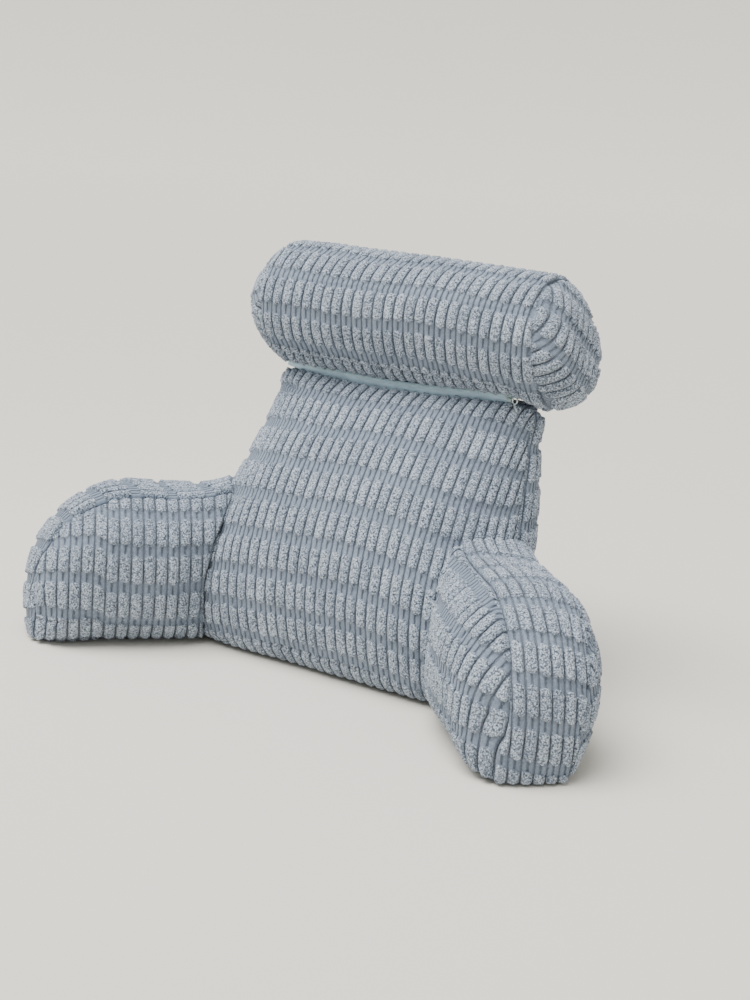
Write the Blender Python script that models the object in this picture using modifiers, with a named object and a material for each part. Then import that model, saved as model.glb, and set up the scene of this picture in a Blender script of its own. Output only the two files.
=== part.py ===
"""Reading pillow: a stuffed backrest with two splayed arms, and a neck bolster zipped on along its top.

Metres, +Z up. The pillow stands on z = 0, its front faces -Y, and the origin is under the
middle of its bounding box. Every cushion is one filled solid at the outside of its pile.
"""

import math

import bmesh
import bpy
import numpy as np
from mathutils import Vector

# ---- driving sizes ----------------------------------------------------------------------

FRONT_LINE_Y = -0.0494      # where the backrest meets the floor between the arms
GAP = 0.0003                # clearance between neighbouring pieces
CUSHION_GAP = 0.0008        # the same around the faceted cushions

# Backrest panels by height: depth of the middle and of the side seams, half the width between
# the seams, and the fullness, where a higher one keeps the panel full nearer to its seams.
# Depths are measured backwards from the front line.
FRONT_PANEL = (
    # z, middle, seam, half width, fullness
    (0.0000, 0.003, 0.044, 0.206, 8.0),
    (0.0100, -0.009, 0.038, 0.217, 8.0),
    (0.0450, -0.019, 0.046, 0.222, 8.0),
    (0.1000, -0.022, 0.062, 0.221, 7.0),
    (0.1520, -0.012, 0.083, 0.213, 5.5),
    (0.2070, 0.013, 0.106, 0.202, 4.2),
    (0.2560, 0.046, 0.126, 0.194, 3.6),
    (0.2960, 0.086, 0.142, 0.187, 3.2),
    (0.3225, 0.121, 0.149, 0.184, 3.0),
    (0.3305, 0.147, 0.153, 0.178, 2.6),
)
BACK_PANEL = (
    # z, middle, seam, half width, fullness
    (0.0000, 0.196, 0.124, 0.176, 3.0),
    (0.0100, 0.206, 0.119, 0.186, 3.0),
    (0.0450, 0.214, 0.122, 0.194, 2.8),
    (0.1000, 0.218, 0.132, 0.197, 2.6),
    (0.1520, 0.221, 0.145, 0.195, 2.6),
    (0.2070, 0.225, 0.159, 0.190, 2.6),
    (0.2560, 0.229, 0.173, 0.182, 2.6),
    (0.2960, 0.232, 0.186, 0.172, 2.6),
    (0.3225, 0.228, 0.193, 0.163, 2.6),
    (0.3305, 0.212, 0.194, 0.154, 2.6),
)
SIDE_GUSSET_BULGE = 0.010
TOP_GUSSET_BULGE = 0.002

ARM_SPLAY = math.radians(45)
ARM_INNER_X = 0.170         # inner face of an arm where it meets the backrest, on the floor
ARM_LENGTH = 0.211          # from there to the front of the arm
ARM_TUCK = 0.085            # how far the uncut arm runs on into the backrest
ARM_HEIGHT = 0.183
ARM_SEAM_GAP = 0.096        # between the two seams of the gusset strip
ARM_CORNER_RUN = 0.122      # the large round at the top of the front, along the arm
ARM_CORNER_FALL = 0.130     # and downwards
ARM_INNER_CROWN = 0.036
ARM_OUTER_CROWN = 0.034
ARM_STRIP_CROWN = 0.006
ARM_FILLING = (
    # distance along the arm, share of the panel crowns there
    (-0.100, 0.05),
    (0.000, 0.35),
    (0.045, 0.82),
    (0.090, 1.00),
    (0.140, 0.97),
    (0.185, 0.62),
    (0.214, 0.05),
)
ARM_FOOT = (
    # share of the height, inset of the outline there
    (0.00, 0.006),
    (0.04, 0.000),
    (1.00, 0.000),
)
ARM_LEVELS = (0.00, 0.05, 0.24, 0.50, 0.76, 0.93, 1.00)     # shares of the height

BOLSTER_RADIUS = 0.0775
BOLSTER_SEAM_HALF = 0.186   # half the distance between the seams of its end discs
BOLSTER_DISC_CROWN = 0.043
BOLSTER_EDGE = 0.014        # soft round where the tube meets an end disc
BOLSTER_DEPTH = 0.172       # its axis, backwards from the front line
BOLSTER_AXIS_Z = 0.4125

ZIP_LEFT_X = -0.173
ZIP_RIGHT_X = 0.152
ZIP_DEPTH = 0.1475          # face of the tape, backwards from the front line
ZIP_MIDDLE_Z = 0.3350
TAPE_THICKNESS = 0.0010
TAPE_REACH = 0.012          # uncut height of each half of the tape
COIL_HEIGHT = 0.0036
COIL_PROUD = 0.0014
SLIDER_X = 0.147
SLIDER_SIZE = (0.0075, 0.0040, 0.0085)
PULL_RING_RADIUS = 0.0036
PULL_WIRE_RADIUS = 0.0007
PULL_STICK_LENGTH = 0.0125
PULL_STICK_SIZE = (0.0026, 0.0012)
PULL_STICK_SLOPE = (0.60, -0.50, -0.62)


# ---- helpers ----------------------------------------------------------------------------

def clear_scene():
    for obj in list(bpy.data.objects):
        bpy.data.objects.remove(obj, do_unlink=True)


def new_collection(name):
    collection = bpy.data.collections.new(name)
    bpy.context.scene.collection.children.link(collection)
    return collection


def material(name, color, roughness, metallic=0.0):
    made = bpy.data.materials.new(name)
    made.use_nodes = True
    shader = made.node_tree.nodes["Principled BSDF"]
    shader.inputs["Base Color"].default_value = (*color, 1.0)
    shader.inputs["Roughness"].default_value = roughness
    shader.inputs["Metallic"].default_value = metallic
    return made


def object_from(bm, name, collection, finish):
    bmesh.ops.recalc_face_normals(bm, faces=bm.faces)
    mesh = bpy.data.meshes.new(name)
    bm.to_mesh(mesh)
    bm.free()
    mesh.materials.append(finish)
    mesh.shade_smooth()
    obj = bpy.data.objects.new(name, mesh)
    collection.objects.link(obj)
    return obj


def divided_cube(counts):
    """A cube from -1 to 1 on each axis, cut into this many slices along X, Y and Z."""
    bm = bmesh.new()
    bmesh.ops.create_cube(bm, size=2.0)
    for axis, count in enumerate(counts):
        normal = Vector((0.0, 0.0, 0.0))
        normal[axis] = 1.0
        for step in range(1, count):
            at = normal * (2.0 * step / count - 1.0)
            everything = bm.verts[:] + bm.edges[:] + bm.faces[:]
            bmesh.ops.bisect_plane(bm, geom=everything, plane_co=at, plane_no=normal)
    return bm


def column(table, share, index):
    """One column of a table of rows, read at a share of the way down it."""
    rows = np.array(table)
    return float(np.interp(share * (len(rows) - 1), range(len(rows)), rows[:, index]))


def smoothed(obj, levels):
    modifier = obj.modifiers.new("Subdivision", "SUBSURF")
    modifier.levels = levels
    modifier.render_levels = levels
    return modifier


def cut_away(obj, cutter):
    modifier = obj.modifiers.new("Clear of " + cutter.name, "BOOLEAN")
    modifier.operation = "DIFFERENCE"
    modifier.solver = "EXACT"
    modifier.object = cutter


def grown_cutter(obj, collection, by):
    """A copy of a smoothed piece, grown all round, that cuts clearance for it from its neighbours."""
    cutter = obj.copy()
    cutter.data = obj.data.copy()
    cutter.name = obj.name + "_clearance"
    collection.objects.link(cutter)
    cutter.hide_render = True
    cutter.display_type = "WIRE"
    grow = cutter.modifiers.new("Grow", "DISPLACE")
    grow.strength = by
    grow.mid_level = 0.0
    return cutter


# ---- backrest ---------------------------------------------------------------------------

def panel_depth(panel, up, across):
    """Depth of a panel at a height, and how full it is there: 0 on its side seams, 1 in the middle."""
    full = 1.0 - abs(across) ** column(panel, up, 4)
    middle, seam = column(panel, up, 1), column(panel, up, 2)
    return seam + (middle - seam) * full, full


def backrest_point(across, deep, high):
    """Surface of the backrest for a point of the divided cube, all three from -1 to 1."""
    up = (high + 1.0) / 2.0
    back = (deep + 1.0) / 2.0
    front_y, full = panel_depth(FRONT_PANEL, up, across)
    back_y, _ = panel_depth(BACK_PANEL, up, across)
    half = np.interp(back, (0, 1), (column(FRONT_PANEL, up, 3), column(BACK_PANEL, up, 3)))
    belly = 4.0 * back * (1.0 - back)
    x = across * (half + SIDE_GUSSET_BULGE * belly)
    y = FRONT_LINE_Y + np.interp(back, (0, 1), (front_y, back_y))
    z = column(FRONT_PANEL, up, 0)
    if high == 1.0:
        z += TOP_GUSSET_BULGE * belly * full
    return Vector((x, float(y), z))


def make_backrest(collection, finish):
    bm = divided_cube((12, 4, 9))
    for vert in bm.verts:
        vert.co = backrest_point(*vert.co)
    backrest = object_from(bm, "backrest", collection, finish)
    smoothed(backrest, 1)
    return backrest


# ---- arms -------------------------------------------------------------------------------

def arm_point(side, thick, along, high):
    """Surface of an arm: thick runs from its inner panel to its outer one, along to its front."""
    level = (high + 1.0) / 2.0 * (len(ARM_LEVELS) - 1)
    up = float(np.interp(level, range(len(ARM_LEVELS)), ARM_LEVELS))
    run = (along + 1.0) / 2.0
    inset = float(np.interp(up, *np.array(ARM_FOOT).T))
    flat = ARM_LENGTH - ARM_CORNER_RUN
    flat_share = (flat + ARM_TUCK) / (flat + ARM_TUCK + 1.3 * ARM_CORNER_RUN)
    if run <= flat_share:
        distance = run / flat_share * (flat + ARM_TUCK) - ARM_TUCK
        top = ARM_HEIGHT
        tilt = 0.0
    else:
        tilt = (run - flat_share) / (1.0 - flat_share) * math.pi / 2.0
        distance = flat + ARM_CORNER_RUN * math.sin(tilt)
        top = ARM_HEIGHT - ARM_CORNER_FALL * (1.0 - math.cos(tilt))
    near = float(np.interp(distance, *np.array(ARM_FILLING).T))
    fullness = 4.0 if up < 0.5 else 2.4
    belly = (1.0 - abs(2.0 * up - 1.0) ** fullness) * near
    crown = ARM_INNER_CROWN if thick < 0 else ARM_OUTER_CROWN
    half = ARM_SEAM_GAP / 2.0 - inset
    out = thick * (half + crown * belly)
    z = up * top
    rise = ARM_STRIP_CROWN * (1.0 - thick * thick)
    if high == 1.0:
        z += rise * math.cos(tilt)
    if high == 1.0 or along == 1.0:
        distance += rise * math.sin(tilt)
    distance -= inset * run ** 4
    forward = Vector((side * math.sin(ARM_SPLAY), -math.cos(ARM_SPLAY), 0.0))
    outward = Vector((side * math.cos(ARM_SPLAY), math.sin(ARM_SPLAY), 0.0))
    root = Vector((side * ARM_INNER_X, FRONT_LINE_Y, 0.0)) + outward * (ARM_SEAM_GAP / 2.0)
    place = root + forward * distance + outward * out
    place.z = z
    return place


def make_arm(name, side, backrest_clearance, collection, finish):
    bm = divided_cube((4, 10, 6))
    for vert in bm.verts:
        vert.co = arm_point(side, *vert.co)
    arm = object_from(bm, name, collection, finish)
    smoothed(arm, 1)
    cut_away(arm, backrest_clearance)
    return arm


# ---- neck bolster -----------------------------------------------------------------------

def make_bolster(collection, finish):
    """Half of its outline from the middle of one end disc to the other, turned about X."""
    profile = []
    for step in range(5):
        share = step / 4.0
        radius = (BOLSTER_RADIUS - BOLSTER_EDGE) * share
        profile.append((radius, BOLSTER_SEAM_HALF + BOLSTER_DISC_CROWN * (1.0 - share ** 2.2)))
    for step in range(1, 4):
        turn = math.pi / 2.0 * step / 3.0
        radius = BOLSTER_RADIUS - BOLSTER_EDGE * (1.0 - math.sin(turn))
        profile.append((radius, BOLSTER_SEAM_HALF - BOLSTER_EDGE * (1.0 - math.cos(turn))))
    profile += [(radius, -height) for radius, height in reversed(profile)]
    bm = bmesh.new()
    points = [bm.verts.new((radius, 0.0, height)) for radius, height in profile]
    for above, below in zip(points, points[1:]):
        bm.edges.new((above, below))
    mesh = bpy.data.meshes.new("bolster")
    bm.to_mesh(mesh)
    bm.free()
    mesh.materials.append(finish)
    bolster = bpy.data.objects.new("bolster", mesh)
    collection.objects.link(bolster)
    turned = bolster.modifiers.new("Turn", "SCREW")
    turned.steps = 28
    turned.render_steps = 28
    turned.use_merge_vertices = True
    turned.merge_threshold = 0.0001
    turned.use_smooth_shade = True
    bolster.location = (0.0, FRONT_LINE_Y + BOLSTER_DEPTH, BOLSTER_AXIS_Z)
    bolster.rotation_euler = (0.0, math.pi / 2.0, 0.0)
    return bolster


# ---- zip --------------------------------------------------------------------------------

def block(name, low, high, collection, finish):
    bm = bmesh.new()
    bmesh.ops.create_cube(bm, size=1.0)
    low, high = Vector(low), Vector(high)
    size = high - low
    bmesh.ops.scale(bm, vec=size, verts=bm.verts)
    bmesh.ops.translate(bm, vec=(low + high) / 2.0, verts=bm.verts)
    return object_from(bm, name, collection, finish)


def make_tapes(cutters, collection, finish):
    """Each half of the tape stands between the bolster and the backrest, trimmed by both."""
    face = FRONT_LINE_Y + ZIP_DEPTH
    for name, low, high in (
        ("zip_tape_lower", ZIP_MIDDLE_Z - TAPE_REACH, ZIP_MIDDLE_Z - GAP / 2.0),
        ("zip_tape_upper", ZIP_MIDDLE_Z + GAP / 2.0, ZIP_MIDDLE_Z + TAPE_REACH),
    ):
        tape = block(
            name,
            (ZIP_LEFT_X, face, low),
            (ZIP_RIGHT_X, face + TAPE_THICKNESS, high),
            collection,
            finish,
        )
        tape.data.set_sharp_from_angle(angle=math.radians(30))
        for cutter in cutters:
            cut_away(tape, cutter)


def make_coil(collection, finish):
    """The closed teeth, as one half round cord along the front of the tapes."""
    outline = [(0.0, -COIL_HEIGHT / 2.0), (0.0, COIL_HEIGHT / 2.0)]
    for step in range(1, 6):
        turn = math.pi * step / 6.0
        outline.append((-COIL_PROUD * math.sin(turn), COIL_HEIGHT / 2.0 * math.cos(turn)))
    bm = bmesh.new()
    start = ZIP_LEFT_X + 0.002
    face = FRONT_LINE_Y + ZIP_DEPTH - GAP
    ring = [bm.verts.new((start, face + y, ZIP_MIDDLE_Z + z)) for y, z in outline]
    end = bm.faces.new(ring)
    grown = bmesh.ops.extrude_face_region(bm, geom=[end], use_keep_orig=True)
    moved = [item for item in grown["geom"] if isinstance(item, bmesh.types.BMVert)]
    length = SLIDER_X - SLIDER_SIZE[0] / 2.0 - GAP - start
    bmesh.ops.translate(bm, vec=(length, 0.0, 0.0), verts=moved)
    coil = object_from(bm, "zip_coil", collection, finish)
    coil.data.set_sharp_from_angle(angle=math.radians(40))
    return coil


def make_slider(collection, finish):
    """A wedge body, wider at its mouth, with rounded edges."""
    width, depth, height = SLIDER_SIZE
    face = FRONT_LINE_Y + ZIP_DEPTH - GAP
    low = (SLIDER_X - width / 2.0, face - depth, ZIP_MIDDLE_Z - height / 2.0)
    high = (SLIDER_X + width / 2.0, face, ZIP_MIDDLE_Z + height / 2.0)
    slider = block("zip_slider", low, high, collection, finish)
    for vert in slider.data.vertices:
        if vert.co.x < SLIDER_X:
            vert.co.z = ZIP_MIDDLE_Z + (vert.co.z - ZIP_MIDDLE_Z) * 0.72
    edges = slider.modifiers.new("Rounded", "BEVEL")
    edges.width = 0.0008
    edges.segments = 2
    edges.limit_method = "ANGLE"
    return slider


def make_pull(collection, finish):
    """A wire ring that hangs from the slider, joined to a flat stick."""
    ring_x = SLIDER_X + SLIDER_SIZE[0] / 2.0 + PULL_RING_RADIUS + PULL_WIRE_RADIUS + GAP
    ring_y = FRONT_LINE_Y + ZIP_DEPTH - GAP - SLIDER_SIZE[1] / 2.0
    curve = bpy.data.curves.new("pull_ring", "CURVE")
    curve.dimensions = "3D"
    curve.bevel_depth = PULL_WIRE_RADIUS
    curve.bevel_resolution = 2
    spline = curve.splines.new("POLY")
    count = 20
    spline.points.add(count - 1)
    for step, point in enumerate(spline.points):
        turn = 2.0 * math.pi * step / count
        x = ring_x + PULL_RING_RADIUS * math.cos(turn)
        z = ZIP_MIDDLE_Z - 0.001 + PULL_RING_RADIUS * math.sin(turn)
        point.co = (x, ring_y, z, 1.0)
    spline.use_cyclic_u = True
    guide = bpy.data.objects.new("pull_ring_guide", curve)
    collection.objects.link(guide)
    bpy.context.view_layer.update()
    graph = bpy.context.evaluated_depsgraph_get()
    mesh = bpy.data.meshes.new_from_object(guide.evaluated_get(graph))
    bpy.data.objects.remove(guide, do_unlink=True)
    bm = bmesh.new()
    bm.from_mesh(mesh)
    bmesh.ops.remove_doubles(bm, verts=bm.verts, dist=0.00001)
    mesh.name = "zip_pull"
    pull = object_from(bm, "zip_pull", collection, finish)

    bm = bmesh.new()
    bmesh.ops.create_cube(bm, size=1.0)
    wide, thin = PULL_STICK_SIZE
    bmesh.ops.scale(bm, vec=(PULL_STICK_LENGTH, thin, wide), verts=bm.verts)
    bmesh.ops.translate(bm, vec=(PULL_STICK_LENGTH / 2.0, 0.0, 0.0), verts=bm.verts)
    slope = Vector((1.0, 0.0, 0.0)).rotation_difference(Vector(PULL_STICK_SLOPE))
    bmesh.ops.rotate(bm, matrix=slope.to_matrix(), verts=bm.verts)
    start = Vector((ring_x - 0.003, ring_y, ZIP_MIDDLE_Z - 0.001 - PULL_RING_RADIUS))
    bmesh.ops.translate(bm, vec=start, verts=bm.verts)
    stick = object_from(bm, "pull_stick_shape", collection, finish)
    stick.hide_render = True
    stick.display_type = "WIRE"
    joined = pull.modifiers.new("Stick", "BOOLEAN")
    joined.operation = "UNION"
    joined.solver = "EXACT"
    joined.object = stick
    return pull


# ---- the whole pillow -------------------------------------------------------------------

def main():
    clear_scene()
    pillow = new_collection("reading_pillow")
    cutters = new_collection("cutters")

    plush = {}
    for name, color in (
        ("backrest", (0.40, 0.47, 0.54)),
        ("arm_left", (0.41, 0.48, 0.55)),
        ("arm_right", (0.41, 0.48, 0.55)),
        ("bolster", (0.38, 0.45, 0.52)),
    ):
        plush[name] = material(name + "_plush", color, 0.95)
    tape = material("zip_tape_woven", (0.35, 0.55, 0.66), 0.8)
    teeth = material("zip_coil_nylon", (0.38, 0.58, 0.68), 0.5)
    metal = material("zip_slider_enamel", (0.33, 0.42, 0.40), 0.35, 0.7)
    bright = material("zip_pull_metal", (0.60, 0.66, 0.64), 0.3, 0.9)

    backrest = make_backrest(pillow, plush["backrest"])
    backrest_clearance = grown_cutter(backrest, cutters, CUSHION_GAP)
    make_arm("arm_left", -1, backrest_clearance, pillow, plush["arm_left"])
    make_arm("arm_right", 1, backrest_clearance, pillow, plush["arm_right"])
    bolster = make_bolster(pillow, plush["bolster"])
    bolster_clearance = grown_cutter(bolster, cutters, CUSHION_GAP)
    make_tapes((backrest_clearance, bolster_clearance), pillow, tape)
    make_coil(pillow, teeth)
    make_slider(pillow, metal)
    make_pull(pillow, bright)


main()
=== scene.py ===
import math

import bmesh
import bpy
import numpy as np
from mathutils import Matrix, Vector, noise
from mathutils.bvhtree import BVHTree


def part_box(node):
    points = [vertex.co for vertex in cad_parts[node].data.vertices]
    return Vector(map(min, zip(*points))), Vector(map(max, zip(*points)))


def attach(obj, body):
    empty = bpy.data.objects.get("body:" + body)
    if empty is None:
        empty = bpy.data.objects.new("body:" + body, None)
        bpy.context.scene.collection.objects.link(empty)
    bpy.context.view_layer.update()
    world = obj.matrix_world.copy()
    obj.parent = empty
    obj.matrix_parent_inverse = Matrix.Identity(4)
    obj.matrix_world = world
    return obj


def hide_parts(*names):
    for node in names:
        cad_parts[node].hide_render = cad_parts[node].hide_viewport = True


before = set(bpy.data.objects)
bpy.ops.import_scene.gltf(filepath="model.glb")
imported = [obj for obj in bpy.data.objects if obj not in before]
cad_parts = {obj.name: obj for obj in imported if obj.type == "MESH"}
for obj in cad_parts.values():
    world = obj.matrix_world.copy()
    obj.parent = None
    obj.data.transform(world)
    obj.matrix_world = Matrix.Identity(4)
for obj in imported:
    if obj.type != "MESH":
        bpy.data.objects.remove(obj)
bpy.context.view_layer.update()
print("frame loaded")

# the ribbed plush, in metres: each rib is one tall tuft after another, and between two tufts
# it is sheared low and splits into two thin ribs
cloth = {
    "ribPitch": 0.0142,
    "repeat": 0.0465,
    "tuftShare": 0.75,      # of the repeat, the rest is sheared
    "tuftHeight": 0.0056,
    "twinHeight": 0.0021,
    "twinFloor": 0.0007,    # the sheared part's grooves are shallower
    "endRound": 0.0048,     # how far a tuft's rounded end reaches
    "backing": 0.0046,      # how far the cloth's backing lies under the cushion's outside
    "tuftRound": (2.8, 0.6),    # across a rib: how flat its top is, how steep its sides are
    "twinRound": (2.5, 0.7),
    "slowDrift": 0.0022,    # neighbouring ribs are out of step by a little
    "quickDrift": 0.0007,
    "slowTurn": 0.43,       # how far each drift turns from a rib to the next
    "quickTurn": 2.4,
    "napRoughness": 0.0010,
    "napSize": 0.0032,
    "seamPinch": 0.0045,    # how deep the pile sinks at a seam, and how far from it that reaches
    "seamReach": 0.0040,
    "hemRise": 0.004,       # below this height the pile flattens to the base
    "leastLevel": 0.45,     # keeps that from growing where the cloth faces down
}
pitch = cloth["ribPitch"]
farOff = 9.0                # a distance to a seam that counts as none near

# what stuffs the cushions
filling = {
    "pressure": 3.0,
    "extraCloth": 0.03,     # the cloth is cut this share too large
    "seamHold": 0.4,
    "seamHoldReach": 0.004,
    "baseHeld": 0.002,      # up to this height the cloth is held
    "bending": 0.4,
    "unevenness": 0.0012,   # a faint one, to start the puckers from
    "unevenSize": 0.03,
    "mostMove": 0.006,
    "drawIn": 0.0032,       # the cage starts this much smaller all round
    "easeIn": 0.01,         # from what is held, over which the cloth begins to move
    "frames": 16,
    "evening": 10,          # times that small folds are evened out
    "lumpSize": 0.075,
    "lumpReach": 0.03,      # from a seam, over which the lumps begin
    "baseEvening": 120,
    "heldReach": 0.008,     # how far from a held end the pile still keeps to its plane
}


def fraction(x):
    return x - np.floor(x)


def unit(x):
    # x, held between 0 and 1
    return np.clip(x, 0, 1)


def ramped(x, start, run):
    # 0 up to start, then rising to 1 over the run
    return unit((x - start) / run)


def readTable(rows, at, column):
    # a smooth curve through one column of a table, read at values of its first column
    rows = np.array(rows, float)
    x, y = rows[:, 0], rows[:, column]
    slope = np.gradient(y, x)
    at = np.clip(at, x[0], x[-1])
    i = np.clip(np.searchsorted(x, at, side="right") - 1, 0, len(x) - 2)
    h = x[i + 1] - x[i]
    s = (at - x[i]) / h
    return ((2 * s**3 - 3 * s**2 + 1) * y[i] + (s**3 - 2 * s**2 + s) * h * slope[i]
            + (3 * s**2 - 2 * s**3) * y[i + 1] + (s**3 - s**2) * h * slope[i + 1])


def pileHeight(u, v):
    # u runs across the ribs and v up them, with a groove at u = 0 and the top of a tuft at v = 0,
    # and it returns how high the pile stands and how much of that is a tall tuft
    c = cloth
    rib = np.floor(u / pitch)
    s = np.abs(fraction(u / pitch) - 0.5) * 2
    drift = c["slowDrift"] * np.sin(c["slowTurn"] * rib) + c["quickDrift"] * np.sin(c["quickTurn"] * rib)
    t = fraction((drift - v) / c["repeat"])
    toEnd = np.minimum(t, c["tuftShare"] - t) * c["repeat"] / c["endRound"]
    toEnd = unit(toEnd)
    halfWidth = np.sqrt(1 - (1 - toEnd) ** 2)
    q = unit(s / np.maximum(halfWidth, 1e-3))
    flat, steep = c["tuftRound"]
    tuft = c["tuftHeight"] * (1 - q**flat) ** steep * np.where(toEnd > 0, 1, 0)
    tw = np.abs(s - 0.5) * 2
    low = c["twinFloor"] * (1 - toEnd)
    flat, steep = c["twinRound"]
    twin = low + (c["twinHeight"] - low) * (1 - tw**flat) ** steep
    return np.maximum(tuft, twin), tuft / c["tuftHeight"]


def addObject(name, data):
    obj = bpy.data.objects.new(name, data)
    bpy.context.scene.collection.objects.link(obj)
    return obj


def applied(obj):
    # the object with its modifiers in its mesh
    graph = bpy.context.evaluated_depsgraph_get()
    mesh = bpy.data.meshes.new_from_object(obj.evaluated_get(graph), preserve_all_data_layers=True,
                                           depsgraph=graph)
    obj.modifiers.clear()
    old = obj.data
    obj.data = mesh
    bpy.data.meshes.remove(old)
    mesh.name = obj.name
    return obj


def dividedCube(counts):
    # a cube from -1 to 1, cut into this many cells along each axis
    bm = bmesh.new()
    bmesh.ops.create_cube(bm, size=2)
    for axis, count in enumerate(counts):
        along = []
        for e in bm.edges:
            step = e.verts[1].co - e.verts[0].co
            if abs(step[axis]) > 0.9 * step.length:
                along.append(e)
        if count > 1:
            bmesh.ops.subdivide_edges(bm, edges=along, cuts=count - 1, use_grid_fill=True)
    return bm


def cageObject(name, counts):
    # returns the cage, its points as whole steps along each axis, its faces' corners, and which
    # side of the cube each corner is on
    bm = dividedCube(counts)
    mesh = bpy.data.meshes.new(name)
    bm.to_mesh(mesh)
    bm.free()
    obj = addObject(name, mesh)
    co = getPoints(mesh)
    steps = np.rint((co + 1) / 2 * np.array(counts)).astype(int)
    corner = getCorners(mesh)
    middle = co[corner.reshape(-1, 4)].mean(axis=1)
    axis = np.abs(middle).argmax(axis=1)
    sign = middle[np.arange(len(middle)), axis] > 0
    side = np.repeat(axis * 2 + sign, 4)
    return obj, steps, corner, side


def setPoints(mesh, co):
    mesh.vertices.foreach_set("co", np.ascontiguousarray(co, np.float32).reshape(-1))
    mesh.update()


def getPoints(mesh):
    co = np.empty(len(mesh.vertices) * 3, np.float32)
    mesh.vertices.foreach_get("co", co)
    return co.reshape(-1, 3).astype(float)


def getNormals(mesh):
    normals = np.empty(len(mesh.vertices) * 3, np.float32)
    mesh.vertex_normals.foreach_get("vector", normals)
    return normals.reshape(-1, 3)


def getCorners(mesh):
    # the point at each corner of each face
    corner = np.empty(len(mesh.loops), np.int32)
    mesh.loops.foreach_get("vertex_index", corner)
    return corner


def addMap(mesh, name, values):
    layer = mesh.uv_layers.new(name=name)
    layer.data.foreach_set("uv", np.ascontiguousarray(values, np.float32).reshape(-1))


def readMap(mesh, name):
    uv = np.empty(len(mesh.loops) * 2, np.float32)
    mesh.uv_layers[name].data.foreach_get("uv", uv)
    return uv.reshape(-1, 2).astype(float)


def edgeEnds(mesh):
    # both ends of every edge, each way round
    ends = np.empty(len(mesh.edges) * 2, np.int32)
    mesh.edges.foreach_get("vertices", ends)
    ends = ends.reshape(-1, 2)
    return np.concatenate([ends, ends[:, ::-1]])


def evened(values, ends, times, only=slice(None)):
    # gives each point the mean of its neighbours' values, this many times
    count = np.maximum(np.bincount(ends[:, 0], minlength=len(values)), 1)
    for _ in range(times):
        for axis in range(3):
            near = np.bincount(ends[:, 0], weights=values[ends[:, 1], axis], minlength=len(values)) / count
            values[only, axis] = near[only]
    return values


def lumps(co, size, seed):
    at = Vector((seed * 7.3, seed * 3.1, seed * 5.7))
    return np.array([noise.noise(Vector(p) / size + at) for p in co])


def fillOut(obj, settings, toSeam, toHeld, seed):
    # stuffs the cushion: its cloth is cut a little large and pressed outwards from inside, so it
    # rounds between its seams and puckers beside them, while its seams and its base are held
    mesh = obj.data
    start = getPoints(mesh)
    reach = settings["seamHoldReach"]
    hold = unit(1 - toSeam / reach) * settings["seamHold"]
    hold = np.where((start[:, 2] < settings["baseHeld"]) | (toHeld < reach), 1, hold)
    group = obj.vertex_groups.new(name="held")
    for index, weight in enumerate(hold):
        group.add([index], float(weight), "REPLACE")
    mod = obj.modifiers.new("Filling", "CLOTH")
    fabric = mod.settings
    fabric.quality = 6
    fabric.mass = 0.3
    fabric.tension_stiffness = fabric.compression_stiffness = 12
    fabric.shear_stiffness = 4
    fabric.bending_stiffness = settings["bending"]
    fabric.vertex_group_mass = "held"
    fabric.use_pressure = True
    fabric.uniform_pressure_force = settings["pressure"]
    fabric.shrink_min = -settings["extraCloth"]
    fabric.effector_weights.gravity = 0
    mod.collision_settings.use_collision = False
    uneven = lumps(start, settings["unevenSize"], seed)[:, None] * settings["unevenness"]
    setPoints(mesh, start + uneven * (1 - hold)[:, None])
    scene = bpy.context.scene
    for frameNumber in range(1, settings["frames"] + 1):
        scene.frame_set(frameNumber)
    graph = bpy.context.evaluated_depsgraph_get()
    step = getPoints(obj.evaluated_get(graph).data) - start
    size = np.linalg.norm(step, axis=1)
    print(obj.name, "filled out by", round(float(size.mean()) * 1000, 1), "mm before it is evened out")
    step *= np.minimum(1, settings["mostMove"] / np.maximum(size, 1e-9))[:, None]
    step *= (1 - (hold >= 1))[:, None]
    obj.modifiers.clear()
    obj.vertex_groups.clear()
    scene.frame_set(1)
    setPoints(mesh, start)
    ease = settings["easeIn"]
    step -= getNormals(mesh) * settings["drawIn"] * unit(toHeld / ease)[:, None]
    # small folds are evened out over the cloth, since the pile hides them
    step = evened(step, edgeEnds(mesh), settings["evening"])
    step[:, 2] *= unit(start[:, 2] / ease)
    setPoints(mesh, start + step)


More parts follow.
